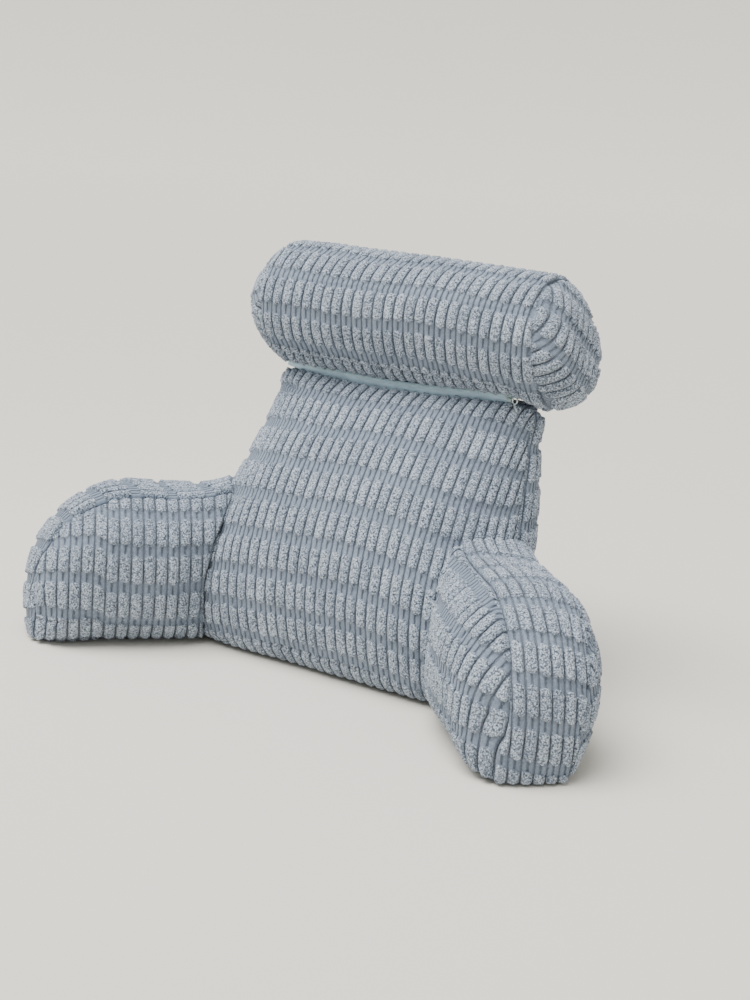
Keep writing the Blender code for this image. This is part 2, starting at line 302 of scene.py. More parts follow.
def growPile(obj, levels, lump, seed, hold):
    # smooths the cage, then raises the tufts from it and leaves its base flat
    mod = obj.modifiers.new("Smooth", "SUBSURF")
    mod.levels = levels
    mod.render_levels = levels
    mod.uv_smooth = "NONE"
    mesh = applied(obj).data
    co = getPoints(mesh)
    normals = getNormals(mesh).astype(float)
    corner = getCorners(mesh)
    uv = np.zeros((len(co), 2))
    uv[corner] = readMap(mesh, "cloth")
    edge = readMap(mesh, "seams")
    toSeam = np.full(len(co), farOff)
    np.minimum.at(toSeam, corner, edge[:, 0])
    farthest = np.full(len(co), -farOff)
    np.maximum.at(farthest, corner, edge[:, 0])
    hidden = farthest < 0
    toSeam = np.maximum(toSeam, 0)
    toHeld = np.full(len(co), farOff)
    np.minimum.at(toHeld, corner, edge[:, 1])
    height, tuft = pileHeight(uv[:, 0], uv[:, 1])
    rough = cloth["napRoughness"] * lumps(co, cloth["napSize"], seed) * tuft
    full = unit(toSeam / cloth["seamReach"])
    full = full * full * (3 - 2 * full)
    pinch = cloth["seamPinch"] * np.exp(-(toSeam / cloth["seamReach"]) ** 2)
    out = (height + rough) * full - cloth["backing"] - pinch
    out += lump * lumps(co, filling["lumpSize"], seed + 1) * unit(toSeam / filling["lumpReach"])
    move = normals * out[:, None]
    # by the floor the sides draw in level, and the base inside them follows, so that no rim stands out
    low = unit(1 - co[:, 2] / cloth["hemRise"])
    level = np.maximum(np.hypot(normals[:, 0], normals[:, 1]), cloth["leastLevel"])
    move[:, :2] *= (1 + low * (1 / level - 1))[:, None]
    ends = edgeEnds(mesh)
    move = evened(move, ends[hidden[ends[:, 0]]], filling["baseEvening"], hidden)
    if hold:
        kept = unit(1 - toHeld / filling["heldReach"])
        move -= np.outer(kept * (move @ np.array(hold)), hold)
    move[:, 2] *= unit(co[:, 2] / cloth["hemRise"])
    co += move
    co[:, 2] = np.maximum(co[:, 2], 0)
    setPoints(mesh, co)
    mesh.shade_smooth()
    return obj


# the zip runs level at first and then climbs, and it takes the cloth on both sides along
zipLine = {
    "climb": (              # place along it, height
        (-0.250, 0.0020), (-0.160, 0.0020), (-0.080, 0.0004), (0.000, 0.0), (0.050, 0.0025),
        (0.107, 0.0072), (0.143, 0.0085), (0.170, 0.0070), (0.215, 0.0),
    ),
}


def zipRise(x):
    return readTable(zipLine["climb"], np.asarray(x, float), 1)


def outerSize(points, axis):
    # how far along each row of a grid of points every point is
    steps = np.linalg.norm(np.diff(points, axis=axis), axis=-1)
    return np.insert(np.cumsum(steps, axis=axis), 0, 0, axis=axis)


def toBothEnds(sizes, axis=0):
    # how far every point is from the nearer end of its row
    return np.minimum(sizes, np.take(sizes, [-1], axis) - sizes)


def marks(count):
    # where the cuts of a side of the cube lie
    return np.arange(count + 1) / count * 2 - 1


def gridOf(place, a, b, c):
    # where place puts a grid of points, one of whose sides is a single value
    spread = np.meshgrid(a, b, c, indexing="ij")
    return place(*[g.ravel() for g in spread]).reshape(*spread[0].shape, 3).squeeze()


def makeCushion(name, counts, place, clothOn, levels, lump, seed, hold=None):
    # place gives the points of the divided cube, clothOn gives each side's cloth, seams and held end
    print("making", name)
    obj, steps, corner, side = cageObject(name, counts)
    mesh = obj.data
    setPoints(mesh, place(*(steps / np.array(counts) * 2 - 1).T))
    at = steps[corner]
    uv = np.zeros((len(corner), 2))
    seams = np.zeros((len(corner), 2))
    for face in range(6):
        on = side == face
        u, v, toSeam, toHeld = clothOn(face, at[on])
        uv[on] = np.stack([u, v], -1)
        seams[on] = np.stack([toSeam, toHeld], -1)
    addMap(mesh, "cloth", uv)
    addMap(mesh, "seams", seams)
    bm = bmesh.new()
    bm.from_mesh(mesh)
    bmesh.ops.recalc_face_normals(bm, faces=bm.faces)
    bm.to_mesh(mesh)
    bm.free()
    nearest = np.full((2, len(mesh.vertices)), farOff)
    np.minimum.at(nearest[0], corner, seams[:, 0])
    np.minimum.at(nearest[1], corner, seams[:, 1])
    fillOut(obj, filling, nearest[0], nearest[1], seed)
    growPile(obj, levels, lump, seed, hold)
    mesh = obj.data
    mesh.uv_layers.remove(mesh.uv_layers["seams"])
    print(name, "has", len(mesh.polygons), "faces")
    return obj


# every depth of the backrest is from the line where it meets the floor between the arms
backrest = {
    "overhang": 0.0201,         # how far its front leans out over that line
    "cells": (72, 8, 30),
    "frontPanel": (
        # height, depth of the middle and of the side seams, half width, fullness
        (0.0000, 0.003, 0.044, 0.206, 8.0),
        (0.0100, -0.009, 0.038, 0.217, 8.0),
        (0.0450, -0.019, 0.046, 0.222, 8.0),
        (0.1000, -0.022, 0.062, 0.221, 7.0),
        (0.1520, -0.012, 0.083, 0.213, 5.5),
        (0.2070, 0.013, 0.106, 0.202, 4.2),
        (0.2560, 0.046, 0.126, 0.194, 3.6),
        (0.2960, 0.086, 0.142, 0.187, 3.2),
        (0.3225, 0.121, 0.149, 0.184, 3.0),
        (0.3305, 0.147, 0.153, 0.178, 2.6),
    ),
    "backPanel": (
        (0.0000, 0.196, 0.124, 0.176, 3.0),
        (0.0100, 0.206, 0.119, 0.186, 3.0),
        (0.0450, 0.214, 0.122, 0.199, 2.8),
        (0.1000, 0.218, 0.132, 0.205, 2.6),
        (0.1520, 0.221, 0.145, 0.203, 2.6),
        (0.2070, 0.225, 0.159, 0.197, 2.6),
        (0.2560, 0.229, 0.173, 0.186, 2.6),
        (0.2960, 0.232, 0.186, 0.172, 2.6),
        (0.3225, 0.228, 0.193, 0.163, 2.6),
        (0.3305, 0.212, 0.194, 0.154, 2.6),
    ),
    "sideBulge": 0.010,
    "topBulge": 0.002,
    "zipLap": 0.0016,           # how far its pile laps over the lower tape
    "zipFollow": (0.26, 0.065),     # from this height, over this much, its front follows the zip
    # share of the cells up to each height of the tables
    "rows": (0, 0.035, 0.13, 0.285, 0.43, 0.58, 0.72, 0.84, 0.945, 1),
    "sideSoftness": 0.0026,     # the side seams are that much less sharp
    "footSoftness": 0.003,
    "creases": ((0.3705, 0.0015), (0.0765, 0.0030), (0.0300, 0.0022)),     # height up the cloth, softness
    "lean": 0.06,               # of the ribs, to one side for each metre up
    "leanFrom": 0.106,
    "ribShift": 0.003,          # the middle groove lies this far to the right
    "ribWiden": 1.007,
    "sag": 0.016,               # of the tuft rows towards the sides, at this distance from the middle
    "sagAt": 0.15,
    "sagShare": ((0, 0.12, 0.3, 0.4), (0.3, 1, 1, 0.45)),   # height up the cloth, share of the sag there
    "mostSag": 0.03,
    "stretch": 0.008,           # of the tuft rows halfway up the cloth
    "clothHeight": 0.4,
    "topRow": 0.361,            # where a tuft has its top: on the front, then on the side gussets
    "gussetRow": 0.31,
    "gussetShift": 0.004,
    "lumps": 0.0022,
}
backLow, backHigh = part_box("backrest")
frontLine = backLow.y + backrest["overhang"]


def levelOf(up):
    # heights of the panel tables for a share of the rows, closer together at both ends
    return np.interp(up, backrest["rows"], [row[0] for row in backrest["frontPanel"]])


def backrestPlace(a, b, c):
    z = levelOf((c + 1) / 2)
    back = (b + 1) / 2
    panels = []
    for table in (backrest["frontPanel"], backrest["backPanel"]):
        middle, seam, half, fullness = (readTable(table, z, i) for i in (1, 2, 3, 4))
        full = 1 - np.abs(a) ** fullness
        panels.append((seam + (middle - seam) * full, half, full))
    (frontY, frontHalf, full), (backY, backHalf, _) = panels
    belly = 4 * back * (1 - back)
    half = frontHalf + (backHalf - frontHalf) * back + backrest["sideBulge"] * belly
    x = a * half
    y = frontLine + frontY + (backY - frontY) * back
    z = z + np.where(c > 0.999, backrest["topBulge"] * belly * full, 0)
    z = z + (zipRise(x) + backrest["zipLap"]) * ramped(z, *backrest["zipFollow"]) ** 2 * (1 - back) ** 2
    return np.stack([x, y, z + backLow.z], -1)


def backrestCloth(face, at):
    nx, ny, nz = backrest["cells"]
    i, j, k = at.T
    a, b, c = marks(nx), marks(ny), marks(nz)
    away = np.full(len(at), farOff)
    if face in (2, 3):
        grid = gridOf(backrestPlace, a, -1.0 if face == 2 else 1.0, c)
        across = outerSize(grid, 0)
        up = outerSize(grid, 1)[nx // 2]
        u = (across - across[nx // 2])[i, k]
        v = up[k]
        toSide = toBothEnds(across)[i, k] + backrest["sideSoftness"]
        toSeam = np.minimum(toSide, np.minimum(v, up[-1] - v) + backrest["footSoftness"])
        if face == 3:
            u = -u
        sag = backrest["sag"] * np.interp(v, *backrest["sagShare"]) * (u / backrest["sagAt"]) ** 2
        stretch = backrest["stretch"] * np.sin(math.pi * v / backrest["clothHeight"])
        lean = backrest["lean"] * (v - backrest["leanFrom"])
        clothU = (u - backrest["ribShift"] + lean) * backrest["ribWiden"]
        row = v + np.minimum(sag, backrest["mostSag"])
        for place, soft in backrest["creases"]:
            toSeam = np.minimum(toSeam, np.abs(row - place) + soft)
        return clothU, row - backrest["topRow"] + stretch, toSeam, away
    if face in (0, 1):
        grid = gridOf(backrestPlace, -1.0 if face == 0 else 1.0, b, c)
        deep = outerSize(grid, 0)
        up = outerSize(grid, 1)[0]
        toSide = toBothEnds(deep)[j, k] + backrest["sideSoftness"]
        toSeam = np.minimum(toSide, np.minimum(up[k] + backrest["footSoftness"], up[-1] - up[k]))
        u = deep[j, k] - backrest["gussetShift"]
        return (u if face == 1 else -u), up[k] - backrest["gussetRow"], toSeam, away
    if face == 5:
        grid = gridOf(backrestPlace, a, b, 1.0)
        across = outerSize(grid, 0)
        deep = outerSize(grid, 1)
        toSeam = np.minimum(toBothEnds(across), toBothEnds(deep, 1))[i, j]
        return (across - across[nx // 2])[i, j] - backrest["ribShift"], deep[i, j], toSeam, away
    grid = gridOf(backrestPlace, a, b, -1.0)
    return grid[i, j, 0], grid[i, j, 1], np.zeros(len(at)) - 1, away


backrestPiece = makeCushion("backrestCushion", backrest["cells"], backrestPlace, backrestCloth, 2,
                            backrest["lumps"], 3)


# distance runs forward along an arm, and out runs from its inner panel to its outer one
arm = {
    "cells": (18, 44, 24),
    "splay": math.radians(45),
    "rootIn": 0.0518,           # from the backrest's side to the arm's inner side on the floor
    "middle": 0.048,            # from there to the middle of the arm
    "length": 0.214,
    "height": 0.183,
    "cornerRun": 0.120,         # the large round at the top of the front
    "cornerFall": 0.130,
    "innerSeam": -0.036,        # where the strip's two seams lie, from the middle
    "outerSeam": 0.058,
    "innerFoot": -0.013,        # how far they move over at the floor in front
    "outerFoot": -0.021,
    "footFrom": 0.13,           # where along the arm that starts, over how much, and up to what height
    "footRun": 0.08,
    "footHigh": 0.13,
    "innerCrown": 0.048,        # how far the panels stand out beyond the seams
    "outerCrown": 0.024,
    "stripCrown": 0.006,
    "stripHalf": 0.048,
    "stripFall": 0.005,
    "fallFrom": (0.046, 0.012),     # where the strip's outer part starts to fall away, over how much
    "rootRise": 0.013,          # the top curves up where it is sewn to the backrest
    "rootReach": 0.022,
    "filling": (                # distance, fullness of the inner and of the outer panel
        (-0.100, 0.62, 0.05), (0.000, 0.74, 0.50), (0.045, 0.93, 0.85), (0.090, 1.00, 1.00),
        (0.140, 0.97, 0.97), (0.185, 0.68, 0.62), (0.214, 0.14, 0.05),
    ),
    "flatCells": 0.36,          # share of the cells along it that lie behind the round
    "clearance": 0.0010,
    "footRound": 0.007,
    "footFull": 0.35,           # how much of the inner panel's fullness is left at the floor
    "ringWidth": 0.0028,        # between the rows of cells next to the round
    "rings": 8,                 # the most such rows
    "search": (0.060, -0.075, -0.002),      # where along it the backrest is looked for: from, to, step
    "leftTuck": 0.131,          # a tuck runs up each panel here, and one runs along the left arm's
    "leftFold": 0.032,
    "rightTuck": 0.134,
    "tuckSoftness": (0.0025, 0.0018, 0.0022),   # of these three
    "leftRow": (0.121, 0.009),  # where a tuft has its top, and how far the rows step at the tuck
    "leftStep": (0.128, 0.006),
    "rightRow": 0.135,
    "ribShift": 0.011,
    "ribWiden": 0.98,
    "stripShift": 0.007,
    "stripRow": 0.200,
    "stripSlant": 0.24,
    "floorSoftness": 0.003,
    "lumps": 0.0025,
}


def armAxes(side):
    forward = np.array([side * math.sin(arm["splay"]), -math.cos(arm["splay"]), 0])
    outward = np.array([side * math.cos(arm["splay"]), math.sin(arm["splay"]), 0])
    root = np.array([side * (backHigh.x - arm["rootIn"]), frontLine, 0]) + outward * arm["middle"]
    return root, forward, outward


def armSeams(distance, z):
    low = ramped(distance, arm["footFrom"], arm["footRun"]) * unit(1 - z / arm["footHigh"])
    return arm["innerSeam"] + arm["innerFoot"] * low, arm["outerSeam"] + arm["outerFoot"] * low


def stripRise(out):
    # how far the strip stands over the arm's plain outline: it falls away past its outer part
    start, run = arm["fallFrom"]
    fall = arm["stripFall"] * np.clip((out - start) / run, 0, 2) ** 2
    return arm["stripCrown"] * (1 - (out / arm["stripHalf"]) ** 2) - fall


def armPlace(side, rear, a, b, c):
    root, forward, outward = armAxes(side)
    run, up = (b + 1) / 2, (c + 1) / 2
    flat = arm["length"] - arm["cornerRun"]
    part = arm["flatCells"]
    tilt = ramped(run, part, 1 - part) * math.pi / 2
    distance = np.where(run < part, rear + (flat - rear) * run / part, flat + arm["cornerRun"] * np.sin(tilt))
    top = arm["height"] - arm["cornerFall"] * (1 - np.cos(tilt))
    risen = arm["rootRise"] * np.exp(-(distance - rear) / arm["rootReach"])
    top = top + risen * unit((part - run) / 0.1)
    # columns stand evenly along the floor and fan out to the round above, in even rings by its corner
    even = rear + (arm["length"] - rear) * run
    distance = distance + (even - distance) * (1 - up) * np.where(b > 0.999, 0, 1)
    turned = unit(1 - (arm["height"] - up * top) / arm["cornerFall"])
    outline = flat + arm["cornerRun"] * np.sqrt(1 - turned**2)
    rings = np.minimum((1 - run) * arm["cells"][1], (1 - up) * arm["cells"][2])
    within = np.minimum(distance, outline - arm["ringWidth"] * np.minimum(rings, arm["rings"]))
    distance = np.where((b < 0.999) & (c < 0.999), within, distance)
    innerSeam, outerSeam = armSeams(distance, up * top)
    fullness = 4 - 1.2 * ramped(up, 0.35, 0.3)
    belly = 1 - np.abs(2 * up - 1) ** fullness
    low = unit(1 - 2 * up)
    innerBelly = belly + arm["footFull"] * low**4
    inner = innerSeam - arm["innerCrown"] * innerBelly * readTable(arm["filling"], distance, 1)
    outer = outerSeam + arm["outerCrown"] * belly * readTable(arm["filling"], distance, 2)
    under = arm["footRound"] * (1 - np.sqrt(1 - unit(1 - up * top / arm["footRound"]) ** 2))
    inner, outer = inner + under, outer - under
    out = inner + (outer - inner) * (a + 1) / 2
    rise = stripRise(innerSeam + (outerSeam - innerSeam) * (a + 1) / 2)
    lean = np.sin(tilt)
    onStrip = (c > 0.999) | (b > 0.999)
    nearTop = np.where(onStrip, 1, ramped(up, 0.6, 0.4) ** 2)
    distance = distance - under * ramped(run, 0.8, 0.2)
    distance = distance + rise * (lean**4 + (lean - lean**4) * nearTop)
    z = up * (top + rise * np.cos(tilt))
    points = root + distance[:, None] * forward + out[:, None] * outward
    points[:, 2] = z
    return points


def findRearEnds(side, blocker):
    # how far back each line along the arm can run before it meets the backrest
    nt, _, nu = arm["cells"]
    a, c = [g.ravel() for g in np.meshgrid(marks(nt), marks(nu), indexing="ij")]
    none = np.zeros(len(a))
    start, stop, step = arm["search"]
    ends = np.full(len(a), stop)
    unmet = np.ones(len(a), bool)
    for distance in np.arange(start, stop, step):
        points = armPlace(side, none + distance, a, none - 1, c)
        for n in np.nonzero(unmet)[0]:
            p = Vector(points[n])
            p.z = max(p.z, cloth["hemRise"])
            spot, normal, _, _ = blocker.find_nearest(p)
            if (p - spot).dot(normal) < arm["clearance"]:
                ends[n] = distance - step
                unmet[n] = False
    ends = ends.reshape(nt + 1, nu + 1)
    for _ in range(3):
        wide = np.pad(ends, 1, mode="edge")
        ends = np.maximum(ends, (wide[:-2, 1:-1] + wide[2:, 1:-1] + wide[1:-1, :-2] + wide[1:-1, 2:]) / 4)
    return ends


def armCloth(side, place, face, at):
    nt, na, nu = arm["cells"]
    i, j, k = at.T
    a, b, c = marks(nt), marks(na), marks(nu)
    root, forward, outward = armAxes(side)
    if face in (0, 1):
        panel = gridOf(place, -1.0 if face == 0 else 1.0, b, c)
        distance = ((panel - root) @ forward)[j, k]
        z = panel[j, k, 2]
        along = outerSize(panel, 0)
        up = outerSize(panel, 1)
        fromRear = along[j, k]
        toSeam = np.minimum(toBothEnds(along), up[:, -1:] - up)[j, k]
        toSeam = np.minimum(toSeam, z + arm["floorSoftness"])
        half = slice(nu // 2, nu // 2 + 1)
        v = (up - up[:, half] + panel[:, half, 2])[j, k]
        tuckSoft, foldSoft, rightSoft = arm["tuckSoftness"]
        if side < 0:
            toSeam = np.minimum(toSeam, np.abs(distance - arm["leftTuck"]) + tuckSoft)
            toSeam = np.minimum(toSeam, np.abs(v - arm["leftFold"]) + foldSoft)
            row, shift = arm["leftRow"]
            v = v - row - shift * ramped(distance, *arm["leftStep"])
        else:
            toSeam = np.minimum(toSeam, np.abs(distance - arm["rightTuck"]) + rightSoft)
            v = v - arm["rightRow"]
        flip = -1 if (side < 0) != (face == 1) else 1
        return (distance - arm["ribShift"]) * arm["ribWiden"] * flip, v, toSeam, fromRear
    top = gridOf(place, a, b, 1.0)
    along = outerSize(top, 1)[nt // 2]
    start = (top[nt // 2, 0] - root) @ forward
    fromRear = np.full(len(at), farOff)
    if face == 5:
        v = along[j] + start
        u = (top[i, j] - root) @ outward
        wide = outerSize(top, 0)
        fromRear = outerSize(top, 1)[i, j]
        toSeam = np.minimum(toBothEnds(wide)[i, j], fromRear)
    elif face == 3:
        front = gridOf(place, a, 1.0, c)
        down = outerSize(front, 1)[nt // 2]
        v = start + along[-1] + down[-1] - down[k]
        u = (front[i, k] - root) @ outward
        wide = outerSize(front, 0)
        toSeam = np.minimum(toBothEnds(wide)[i, k], front[i, k, 2] + arm["floorSoftness"])
    else:
        under = face == 4
        hidden = gridOf(place, a, b, -1.0)[i, j] if under else gridOf(place, a, -1.0, c)[i, k]
        none = np.zeros(len(at))
        return hidden[:, 0], hidden[:, 1], none - 1, (fromRear if under else none)
    return (u - arm["stripShift"]) * side, -(v - arm["stripRow"] - arm["stripSlant"] * u), toSeam, fromRear


def makeArm(side, name):
    nt, _, nu = arm["cells"]
    blocker = BVHTree.FromObject(backrestPiece, bpy.context.evaluated_depsgraph_get())
    rearEnds = findRearEnds(side, blocker)

    def place(a, b, c):
        rear = rearEnds[np.rint((a + 1) / 2 * nt).astype(int), np.rint((c + 1) / 2 * nu).astype(int)]
        return armPlace(side, rear, a, b, c)

    return makeCushion(name, arm["cells"], place, lambda face, at: armCloth(side, place, face, at),
                       2, arm["lumps"], 11 + side, Vector(armAxes(side)[1]))


armPieces = {-1: makeArm(-1, "armLeftCushion"), 1: makeArm(1, "armRightCushion")}


# angles round the neck bolster are from its front, upwards
bolster = {
    "cells": (64, 16, 16),
    "seamInset": 0.043,         # from the end of a bulging disc to its seam
    "edge": 0.012,              # over this much the tube rolls in to the seam
    "rollIn": 0.003,
    "sagging": 0.45,            # of the discs' bulge towards the floor
    "leftFlat": 0.35,           # the left disc is flatter below instead
    "leftTilt": 0.004,
    "discFullness": 5.0,
    "discBulge": 0.86,
    "endTilt": 0.008,           # how far the foot of its right end runs on
    "endDroop": 0.005,
    "underside": (              # place along it, how much higher its foot lies
        (-0.200, -0.003), (-0.160, -0.0052), (0.000, -0.0056), (0.050, -0.0026), (0.107, 0.0012),
        (0.135, 0.0032), (0.156, 0.0034), (0.174, -0.0015), (0.200, -0.004),
    ),
    "seamSoftness": 0.0028,
    "creases": ((-0.0685, 0.0012), (0.0370, 0.0032)),   # place round it, softness
    "seamCell": 17,             # its long seam, where the zip is, in cells below its front
    "lumps": 0.0018,
    "discTurn": math.radians(-42),
    "discRibs": (1.12, 1.1),    # how much closer its ribs and its rows are
    "discReach": 0.02,
    "endShare": (0.70, 0.30),   # of its half length: where the ends begin, and how long they are
    "undersideAt": (1.4, 0.45),     # the angle of that foot below the front, and how far round it reaches
    "ribShift": 0.0071,
    "rowShift": 0.0375,
    "rowWiden": 0.983,
}
bolsterLow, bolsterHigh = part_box("bolster")
bolsterMiddle = (bolsterLow + bolsterHigh) / 2
bolsterRadius = (bolsterHigh.z - bolsterLow.z) / 2
bolsterSeam = bolsterHigh.x - bolster["seamInset"]


def squareTurn(b, c):
    # the turn from the front and the share of the radius for a point of the square
    ring = np.maximum(np.abs(b), np.abs(c))
    safe = np.maximum(ring, 1e-9)
    p, q = -b / safe, c / safe
    onFront = np.abs(b) >= np.abs(c)
    front = np.where(p > 0, 0, math.pi) + np.where(p > 0, 1, -1) * q * math.pi / 4
    upper = np.where(q > 0, math.pi / 2, -math.pi / 2) - np.where(q > 0, 1, -1) * p * math.pi / 4
    return np.where(onFront, front, upper), ring


def bolsterPlace(a, b, c):
    turn, ring = squareTurn(b, c)
    # the ends are round: the disc bulges, and the tube rolls in a little to its seam
    ends = np.abs(a) > 0.999
    x = a * bolsterSeam
    toSeam = bolsterSeam - np.abs(x)
    roll = unit(1 - toSeam / bolster["edge"])
    radius = bolsterRadius - bolster["rollIn"] * roll**2
    radius = np.where(ends, radius * ring, radius)
    crown = (bolsterHigh.x - bolsterSeam) * bolster["discBulge"] * (1 - ring ** bolster["discFullness"])
    flatter = (a < 0) & (np.sin(turn) < 0)
    crown *= 1 - np.where(flatter, -bolster["leftFlat"], bolster["sagging"]) * ring * np.sin(turn)
    x = np.where(ends, np.sign(a) * (bolsterSeam + crown), x)
    y = bolsterMiddle.y - radius * np.cos(turn)
    z = bolsterMiddle.z + radius * np.sin(turn)
    share = radius / bolsterRadius
    nearEnd = ramped(a, *bolster["endShare"]) ** 2
    below, reach = bolster["undersideAt"]
    z = z + readTable(bolster["underside"], x, 1) * np.exp(-((turn + below) / reach) ** 2) * share**2
    z = z - bolster["endDroop"] * nearEnd * share * unit(-np.sin(turn)) ** 2
    x = x - bolster["endTilt"] * nearEnd * share * np.sin(turn)
    farEnd = ramped(-a, *bolster["endShare"]) ** 2
    x = x + bolster["leftTilt"] * farEnd * share * unit(-np.sin(turn))
    return np.stack([x + bolsterMiddle.x, y, z], -1)


def bolsterCloth(face, at):
    nx, ny, nz = bolster["cells"]
    i, j, k = at.T
    a, b, c = i / nx * 2 - 1, j / ny * 2 - 1, k / nz * 2 - 1
    points = bolsterPlace(a, b, c)
    away = np.full(len(at), farOff)
    if face in (0, 1):
        y, z = points[:, 1] - bolsterMiddle.y, points[:, 2] - bolsterMiddle.z
        turn = bolster["discTurn"]
        ring = np.maximum(np.abs(b), np.abs(c))
        u = y * math.cos(turn) + z * math.sin(turn)
        v = -y * math.sin(turn) + z * math.cos(turn)
        toSeam = (1 - ring) * (bolsterRadius + bolster["discReach"]) + bolster["seamSoftness"]
        ribs, rows = bolster["discRibs"]
        return u * ribs, v * rows, toSeam, away

    def ofFace(turn):
        return turn.reshape(-1, 4).mean(axis=1).repeat(4)

    turn, _ = squareTurn(b, c)
    middle = ofFace(turn)
    # angles go from the long seam all the way round
    longSeam = -bolster["seamCell"] / nz * math.pi / 2
    wrapped = np.where(np.abs(turn - middle) > math.pi, turn + np.sign(middle - turn) * 2 * math.pi, turn)
    wrapped = np.where(ofFace(wrapped) < longSeam, wrapped + 2 * math.pi, wrapped)
    arc = wrapped * bolsterRadius
    toSeam = (1 - np.abs(a)) * bolsterSeam + bolster["seamSoftness"]
    toLong = np.minimum(arc - longSeam * bolsterRadius, (longSeam + 2 * math.pi) * bolsterRadius - arc)
    for place, soft in bolster["creases"]:
        toSeam = np.minimum(toSeam, np.abs(arc - place) + soft)
    v = (arc - bolster["rowShift"]) * bolster["rowWiden"]
    return points[:, 0] + bolster["ribShift"], v, np.minimum(toSeam, toLong), away


bolsterPiece = makeCushion("neckBolster", bolster["cells"], bolsterPlace, bolsterCloth, 2,
                           bolster["lumps"], 21)

print("cushions made")


class Wire:
    # one socket of a material, so that sums can be written with it
    def __init__(self, tree, socket=None):
        self.tree = tree
        self.socket = socket

    def node(self, kind, settings=None, inputs=None, output=0):
        made = self.tree.nodes.new(kind)
        for key, value in (settings or {}).items():
            setattr(made, key, value)
        for key, value in (inputs or {}).items():
            if isinstance(value, Wire):
                self.tree.links.new(value.socket, made.inputs[key])
            else:
                made.inputs[key].default_value = value
        return Wire(self.tree, made.outputs[output])

    def math(self, operation, *others, clamp=False):
        inputs = {i: value for i, value in enumerate((self,) + others)}
        return self.node("ShaderNodeMath", {"operation": operation, "use_clamp": clamp}, inputs)

    def reflected(self, operation, other):
        return self.node("ShaderNodeMath", {"operation": operation}, {0: other, 1: self})

    def __add__(self, other): return self.math("ADD", other)
    def __radd__(self, other): return self.math("ADD", other)
    def __sub__(self, other): return self.math("SUBTRACT", other)
    def __rsub__(self, other): return self.reflected("SUBTRACT", other)
    def __mul__(self, other): return self.math("MULTIPLY", other)
    def __rmul__(self, other): return self.math("MULTIPLY", other)
    def __truediv__(self, other): return self.math("DIVIDE", other)
    def __rtruediv__(self, other): return self.reflected("DIVIDE", other)
    def __pow__(self, other): return self.math("POWER", other)

    def clamped(self): return self.math("ADD", 0.0, clamp=True)
    def floor(self): return self.math("FLOOR")
    def fraction(self): return self.math("FRACT")
    def least(self, other): return self.math("MINIMUM", other)
    def most(self, other): return self.math("MAXIMUM", other)
    def size(self): return self.math("ABSOLUTE")

    def ramp(self, low, high):
        # 0 below low, 1 above high, smooth between
        return self.node("ShaderNodeMapRange", {"interpolation_type": "SMOOTHSTEP"},
                         {"Value": self, "From Min": low, "From Max": high})

    def mixed(self, a, b):
        # colour a where this is 0 and b where it is 1
        a, b = [color if isinstance(color, Wire) else (*color, 1.0) for color in (a, b)]
        return self.node("ShaderNodeMix", {"data_type": "RGBA"}, {0: self, 6: a, 7: b}, 2)

    def noise(self, scale, detail, roughness=0.5, output=0):
        inputs = {"Vector": self, "Scale": scale, "Detail": detail, "Roughness": roughness}
        return self.node("ShaderNodeTexNoise", None, inputs, output)


def newMaterial(name, settings):
    # returns the material, a wire to start from and its shader; settings are the shader's own values
    made = bpy.data.materials.new(name)
    made.use_nodes = True
    tree = made.node_tree
    shader = tree.nodes["Principled BSDF"]
    for key, value in settings.items():
        shader.inputs[key].default_value = value
    return made, Wire(tree), shader


def connect(wire, shader, key):
    wire.tree.links.new(wire.socket, shader.inputs[key])


def connectBump(height, shader, strength, distance):
    bump = height.node("ShaderNodeBump", None, {"Strength": strength, "Distance": distance, "Height": height})
    connect(bump, shader, "Normal")


# the colours of the pile: tuft tops with a painted highlight and painted shade on their curls and clumps, the
# sheared ribs, and painted shade for the grooves between ribs
plush = {
    "tuft": (0.323, 0.384, 0.473),
    # painted highlight on the tufts, which also carries their lighter tone that differs at random
    "tuftHighlightAndPaleTone": (0.73, 0.83, 0.96),
    # painted shade on the tufts
    "tuftPaintedShade": (0.080, 0.101, 0.136),
    "twin": (0.176, 0.214, 0.276),
    "twinLight": (0.302, 0.357, 0.441),
    # painted shade for the grooves between ribs
    "grooveShade": (0.063, 0.079, 0.106),
}


